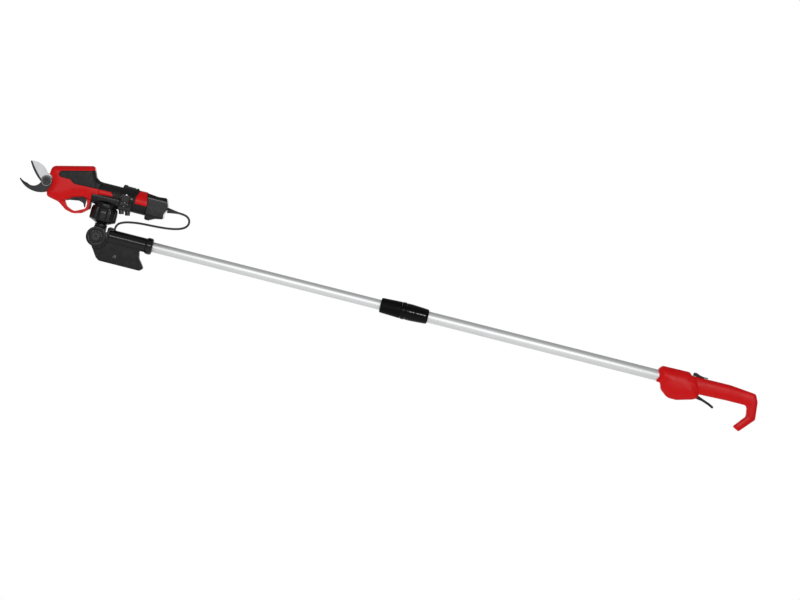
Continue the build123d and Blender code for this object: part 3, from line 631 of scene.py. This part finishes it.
def eased(profile, cut):
    """Rounds the corners of a section with three points each, where its runs are long enough."""
    shortest, straight, pull = 2.2 * cut, 0.97, 0.3
    points = []
    count = len(profile)
    for i in range(count):
        before, here, after = (
            Vector(profile[j]) for j in ((i - 1) % count, i, (i + 1) % count)
        )
        back, on = before - here, after - here
        flat = abs(back.normalized().dot(on.normalized())) > straight
        if flat or back.length < shortest or on.length < shortest:
            points.append(tuple(here))
            continue
        points.append(tuple(here + back.normalized() * cut))
        points.append(tuple(here + (back.normalized() + on.normalized()) * cut * pull))
        points.append(tuple(here + on.normalized() * cut))
    return points


def make_pole():
    """The two tubes, each as long and as wide as its CAD node."""
    for node, bore in TUBE_BORES:
        low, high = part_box(node)
        x0, x1 = low[0] / MM, high[0] / MM
        r = high[2] / MM
        section = eased([(x0, bore), (x0, r), (x1, r), (x1, bore)], TUBE_EDGE)
        body = nodes[node]["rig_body"]
        lathe(node + "_form", section, "tube_aluminium", body, (node,), TUBE_SEGMENTS)


def nut_flute(x, radius, turn):
    """Shallow finger grooves round the twist lock's nut."""
    start, end = FLUTE_X
    if radius < FLUTE_LEAST_R or not start < x < end:
        return 0.0
    fade = min(1.0, (x - start) / FLUTE_FADE, (end - x) / FLUTE_FADE)
    return -FLUTE_DEPTH * fade * (0.5 + 0.5 * math.cos(FLUTES * turn)) ** 3


def make_lock():
    """The twist lock's nut, ring and body with its printed marks, and the bracket's collar."""
    nut = list(NUT_FOOT)
    for i in range(3, NUT_STEPS - 1):
        x = NUT_X[0] + (NUT_X[1] - NUT_X[0]) * i / NUT_STEPS
        nut.append((x, NUT_FLARE_R + NUT_FLARE_BY * ((x - NUT_FLARE_X) / NUT_FLARE_LENGTH)))
    nut += NUT_HEAD
    lathe("lock_nut_form", nut, "nut_black", "lock_nut", ("lock_nut",), NUT_SEGMENTS,
          flute=nut_flute)
    lathe("lock_ring_form", LOCK_RING, "lock_black", "handle", ("lock_ring",))
    lathe("lock_body_form", LOCK_BODY, "lock_black", "handle", ("lock_body",))
    make_marks()
    lathe("sleeve_collar_form", SLEEVE_COLLAR, "black_plastic", "upper_pole", ("sleeve_collar",))


MARK_BARS = [
    (-712.0, -704.5, 0.8, 1.6), (-697.0, -693.5, 0.3, 2.1), (-692.3, -690.8, 0.3, 2.1),
    (-689.6, -685.4, 0.3, 2.1), (-684.2, -682.6, 0.3, 2.1), (-681.4, -677.2, 0.3, 2.1),
]
ARROW_HEADS = [(-714.2, -711.6), (-702.4, -705.0)]
ARROW_MIDDLE = 1.2
ARROW_SIDES = (2.6, -0.2)
MARK_PROUD = 0.06
MARK_THICKNESS = 0.12
BODY_R = 18.6
BODY_TAPER_X = -709
BODY_TAPER_LENGTH = 33.5
BODY_TAPER_BY = 2.1


def body_radius(x):
    """Outside of the lock's body where the printed marks lie."""
    if x < BODY_TAPER_X:
        return BODY_R
    return BODY_R - BODY_TAPER_BY * (x - BODY_TAPER_X) / BODY_TAPER_LENGTH


def make_marks():
    """Printed turn marks: an arrow and a row of bars, with no lettering."""
    form = bmesh.new()

    def place(x, z):
        r = body_radius(x) + MARK_PROUD
        angle = z / r
        return (x * MM, -r * math.cos(angle) * MM, r * math.sin(angle) * MM)

    def patch(corners):
        form.faces.new([form.verts.new(place(x, z)) for x, z in corners])

    for x0, x1, z0, z1 in MARK_BARS:
        patch([(x0, z0), (x1, z0), (x1, z1), (x0, z1)])
    for tip, foot in ARROW_HEADS:
        patch([(tip, ARROW_MIDDLE), (foot, ARROW_SIDES[0]), (foot, ARROW_SIDES[1])])
    mesh = mesh_from(form, "lock_marks")
    marks = piece_of("lock_marks", mesh, "mark_print", "handle")
    skin = marks.modifiers.new("skin", "SOLIDIFY")
    skin.thickness = MARK_THICKNESS * MM
    skin.offset = 0.0
    baked(marks)


# ------------------------------------------------------------------ hand grip
BULB_OUTLINE = [
    (-151, -14.5), (-152, 15), (-145, 23), (-84, 24), (-77, 18), (-70, 17.5), (-60, 0),
    (-52.5, -19), (-54, -28), (-64, -33.5), (-98, -43), (-118, -43), (-137, -28), (-141.5, -14.5),
]
GRIP_OUTLINE = [
    (-96, 17.5), (10, 18.2), (62, 13.3), (70, 12), (77.5, -4), (81.5, -43), (52, -76.5),
    (37, -69), (60.5, -40), (56, -17), (10, -17), (-52, -19), (-96, -19),
]
# Half widths along Y: of the bulb, the grip, its hook, and the middle that stays flat for the slots.
BULB_HALF = 21.0
GRIP_HALF = 15.0
HOOK_HALF = 11.5
SLOT_HALF = 5.4
HOOK_TAPER_X = 8
HOOK_TAPER_LENGTH = 36
BULB_SWELL = 18.0
REACH_IN_BULB = 30.0
REACH_DROP = 14.0
REACH_X = -70
REACH_LENGTH = 25
EDGE_WIDTH = 0.42
SWELL_WIDTH = 0.58
NOSE_HOLLOW = 8.0
NOSE_X = -136.0
NOSE_LENGTH = 14.0


def handle_crown(where):
    """An oval grip tapering into its hook, and a bulb that swells smoothly out of it."""
    flat = where[:, (0, 2)] / MM
    side = numpy.sign(where[:, 1])
    wide = numpy.abs(where[:, 1]) / MM
    x = flat[:, 0]
    in_bulb = inside_distance(flat, BULB_OUTLINE)
    depth = numpy.maximum(in_bulb, inside_distance(flat, GRIP_OUTLINE))
    along = numpy.clip((x - HOOK_TAPER_X) / HOOK_TAPER_LENGTH, 0, 1)
    taper = 1 - (1 - HOOK_HALF / GRIP_HALF) * along
    before_hook = x < HOOK_TAPER_X + HOOK_TAPER_LENGTH
    wide = numpy.where(before_hook, wide * taper, numpy.minimum(wide, HOOK_HALF))
    beyond = numpy.maximum(wide - GRIP_HALF, 0)
    wide = numpy.minimum(wide, GRIP_HALF) + beyond * swell(in_bulb / BULB_SWELL)
    share = numpy.clip((x - REACH_X) / REACH_LENGTH, 0, 1)
    reach = REACH_IN_BULB - REACH_DROP * share * share * (3 - 2 * share)
    factor = EDGE_WIDTH + SWELL_WIDTH * swell(depth / reach)
    wide = numpy.minimum(wide, SLOT_HALF) + numpy.maximum(wide - SLOT_HALF, 0) * factor
    where[:, 1] = side * wide * MM
    in_nose = numpy.clip((NOSE_X - x) / NOSE_LENGTH, 0, 1)
    where[:, 0] += NOSE_HOLLOW * MM * (wide / BULB_HALF) ** 2 * in_nose
    return where


def make_handle():
    """The grip's two shells, the finger lever and the slider."""
    softened("handle_shell_near", 0.75, 5, handle_crown, after=12)
    softened("handle_shell_far", 0.75, 5, handle_crown, after=12)
    softened("hand_trigger", 0.5, 4)
    softened("lock_off_slider", 0.4, 4)


# ------------------------------------------------------------------ pruner
HEAD_OUTLINES = [
    [(-1551, 66), (-1549.5, 52), (-1523, 46.5), (-1510, 51), (-1491, 64), (-1470, 70),
     (-1452, 66.5), (-1436, 66.5), (-1436, 111.5), (-1443, 112), (-1452, 118), (-1462, 141.5),
     (-1552.5, 119.5), (-1554, 101), (-1547.5, 96), (-1544.5, 84), (-1546.5, 72)],
    [(-1475, 66.5), (-1300, 66.5), (-1300, 111.5), (-1475, 111.5)],
]
HEAD_FLAT = 10.0
HEAD_EDGE_WIDTH = 0.45
HEAD_REACH = 22.0
HEAD_END_X = -1450
HEAD_END_LENGTH = 20


def head_crown(where):
    """The head swells from its outline; the grip behind it is round already."""
    flat = where[:, (0, 2)] / MM
    depth = numpy.maximum.reduce([inside_distance(flat, corners) for corners in HEAD_OUTLINES])
    share = numpy.clip((flat[:, 0] - HEAD_END_X) / HEAD_END_LENGTH, 0, 1)
    depth = depth + (HEAD_REACH - numpy.minimum(depth, HEAD_REACH)) * share
    factor = HEAD_EDGE_WIDTH + (1 - HEAD_EDGE_WIDTH) * swell(depth / HEAD_REACH)
    side = numpy.sign(where[:, 1])
    wide = numpy.abs(where[:, 1])
    beyond = numpy.maximum(wide - HEAD_FLAT * MM, 0)
    where[:, 1] = side * (numpy.minimum(wide, HEAD_FLAT * MM) + beyond * factor)
    return where


def make_casing():
    """The pruner's casing, band, battery, trigger and latch, and the clamp that holds it."""
    for side in ("near", "far"):
        for part in ("red_shell", "side_panel", "grip_shell"):
            softened(f"{part}_{side}", 0.6, 4, head_crown)
    for node, voxel, passes in (
        ("release_band", 0.6, 4), ("battery_case", 0.65, 5), ("pruner_trigger", 0.45, 4),
        ("battery_latch", 0.4, 3), ("clamp_upper", 0.6, 4), ("clamp_lower", 0.6, 4),
        ("thumb_screws", 0.35, 3), ("saddle", 0.7, 4),
    ):
        softened(node, voxel, passes)


LIP_UPPER = [
    (-1506.2, 56.2), (-1499, 61.2), (-1491, 65.2), (-1480, 68.6), (-1471, 70.3), (-1464, 69),
]
LIP_LOWER = [
    (-1462.5, 63), (-1468, 65.2), (-1478, 64.6), (-1490, 60.2), (-1499, 56.0), (-1504.6, 53.6),
]
LIP_SIDES = [("near", (-8.9, -6.9)), ("far", (6.9, 8.9))]
LIP_EDGE = 0.4


def lip_line(points, steps=6):
    """A smooth open line through the points of a lip's edge (Catmull-Rom)."""
    ends = [points[0]] + list(points) + [points[-1]]
    line = []
    for a, b, c, d in zip(ends, ends[1:], ends[2:], ends[3:]):
        for i in range(steps):
            t = i / steps
            line.append(tuple(
                0.5 * (
                    2 * q + (r - p) * t + (2 * p - 5 * q + 4 * r - s) * t * t
                    + (3 * q - p - 3 * r + s) * t ** 3
                )
                for p, q, r, s in zip(a, b, c, d)
            ))
    line.append(tuple(points[-1]))
    return line


def make_trigger_lips():
    """Black lips inside the finger guard's upper edge, one each side of the trigger."""
    upper, lower = lip_line(LIP_UPPER), lip_line(LIP_LOWER)
    for side, depths in LIP_SIDES:
        form = bmesh.new()
        rim = [
            [form.verts.new((x * MM, y * MM, z * MM)) for x, z in upper + lower] for y in depths
        ]
        last = len(rim[0]) - 1
        for ring in rim:
            for i in range(len(upper) - 1):
                form.faces.new((ring[i], ring[i + 1], ring[last - 1 - i], ring[last - i]))
        bridge(form, *rim)
        name = "trigger_lip_" + side
        lip = piece_of(name, mesh_from(form, name), "black_plastic", "pruner")
        edge = lip.modifiers.new("edge", "BEVEL")
        edge.width = LIP_EDGE * MM
        edge.segments = 2
        edge.limit_method = "ANGLE"
        baked(lip)


# ------------------------------------------------------------------ head bracket
def make_bracket():
    """The bracket's halves, the neck, the knob, the tilt bolt and the lead's gland."""
    for node, voxel, passes in (
        ("bracket_near", 0.65, 4), ("bracket_far", 0.65, 4), ("tilt_neck", 0.65, 4),
        ("swivel_knob", 0.7, 6), ("tilt_bolt", 0.4, 3), ("cord_gland", 0.35, 3),
    ):
        softened(node, voxel, passes)


# ------------------------------------------------------------------ blades
def bezier(a, control, b, steps=16):
    """A quadratic curve from a to b, drawn towards its control point."""
    line = []
    for i in range(steps + 1):
        t = i / steps
        line.append(tuple(
            (1 - t) ** 2 * p + 2 * t * (1 - t) * c + t * t * q for p, c, q in zip(a, control, b)
        ))
    return line


BLADE_EDGE = bezier((-1569.5, 79.2), (-1589, 97.5), (-1602.3, 117))
BLADE_GRIND = 3.4
BLADE_MIDDLE = 1.7
BLADE_THIN = 0.12
HOOK_TIP = [(-1607, 72), (-1614.5, 76.8)]
HOOK_EDGE = bezier((-1569.5, 79.0), (-1576, 70.3), (-1598, 70)) + HOOK_TIP
HOOK_GRIND = 3.0
HOOK_MIDDLE = -1.4
HOOK_THIN = 0.3
BLADE_PIVOT = (-1558.0, 84.0)
WASHER = [(-4.55, 8.7), (-5.1, 8.9), (-5.3, 9.2), (-5.3, 11.6), (-5.0, 12.1), (-4.55, 12.3)]


def ground(edge, width, middle, thin):
    """A shape change that grinds a plate down about its middle plane, towards a cutting edge."""
    def shape(where):
        flat = where[:, (0, 2)] / MM
        share = numpy.clip(line_distance(flat, edge) / width, 0, 1)
        factor = thin + (1 - thin) * share
        where[:, 1] = middle * MM + (where[:, 1] - middle * MM) * factor
        return where
    return shape


def edge_faces(piece, edge, width, material):
    """Gives the ground strip along a cutting edge its own finish."""
    mesh = piece.data
    mesh.materials.append(finishes[material])
    centres = numpy.empty(len(mesh.polygons) * 3)
    mesh.polygons.foreach_get("center", centres)
    flat = centres.reshape(-1, 3)[:, (0, 2)] / MM
    near = line_distance(flat, edge) < width
    mesh.polygons.foreach_set("material_index", near.astype(int))
    mesh.update()


def make_blades():
    """The moving blade with its bevel painted dark as shade, the hook blade, the pivot bolt and its
    washer.
    """
    grind = ground(BLADE_EDGE, BLADE_GRIND, BLADE_MIDDLE, BLADE_THIN)
    blade = softened("moving_blade", 0.32, 2, grind, keep=1.0)
    # The strip along the cutting edge gets the darker steel, which is painted shade.
    edge_faces(blade, BLADE_EDGE, BLADE_GRIND, "ground_edge_painted_shade")
    grind = ground(HOOK_EDGE, HOOK_GRIND, HOOK_MIDDLE, HOOK_THIN)
    softened("fixed_blade", 0.4, 3, grind, keep=0.6)
    softened("pivot_bolt", 0.3, 3, keep=0.6)
    lathe("pivot_washer", WASHER, "steel", "pruner", segments=72, centre=BLADE_PIVOT, axis="Y")


# ------------------------------------------------------------------ springs
SPRING_WIRE_R = 0.35
WIRE_SIDES = 8
TURN_STEPS = 16


def coil(node, foot, head, radius, turns):
    """A coil spring between two points of the XZ plane, in place of the CAD's plain one."""
    foot, head = Vector(foot) * MM, Vector(head) * MM
    along = (head - foot).normalized()
    foot, head = foot + along * SPRING_WIRE_R * MM, head - along * SPRING_WIRE_R * MM
    side = Vector((0, 1, 0))
    other = along.cross(side)
    steps = TURN_STEPS * turns
    line = []
    for i in range(steps + 1):
        turn = 2 * math.pi * i / TURN_STEPS
        out = side * math.cos(turn) + other * math.sin(turn)
        line.append(foot.lerp(head, i / steps) + out * (radius - SPRING_WIRE_R) * MM)
    mesh = tube_mesh(node + "_coil", line, SPRING_WIRE_R * MM, WIRE_SIDES)
    return piece_of(node + "_coil", mesh, slot_of[node], nodes[node]["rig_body"], (node,))


def make_springs():
    """The two springs of the hand grip, and the pruner trigger's, which is squashed with it."""
    coil("hand_trigger_spring", (-74.4, 0, -24), (-69.2, 0, -24), radius=2.2, turns=4)
    coil("lock_off_spring", (-77.5, 0, 11), (-67.1, 0, 11), radius=2.0, turns=7)
    pressed = coil("pruner_trigger_spring", (-1490, 0, 66.7), (-1490, 0, 70.5), radius=2.0, turns=3)
    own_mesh(pressed)


# ------------------------------------------------------------------ build
finishes = {name: surface(name, **values) for name, values in FINISHES.items()}
make_camera()
make_lead()
make_pole()
make_lock()
make_handle()
make_casing()
make_trigger_lips()
make_bracket()
make_blades()
make_springs()
for name, node in nodes.items():
    for holder in node.material_slots:
        holder.material = finishes[slot_of[name]]
make_studio()
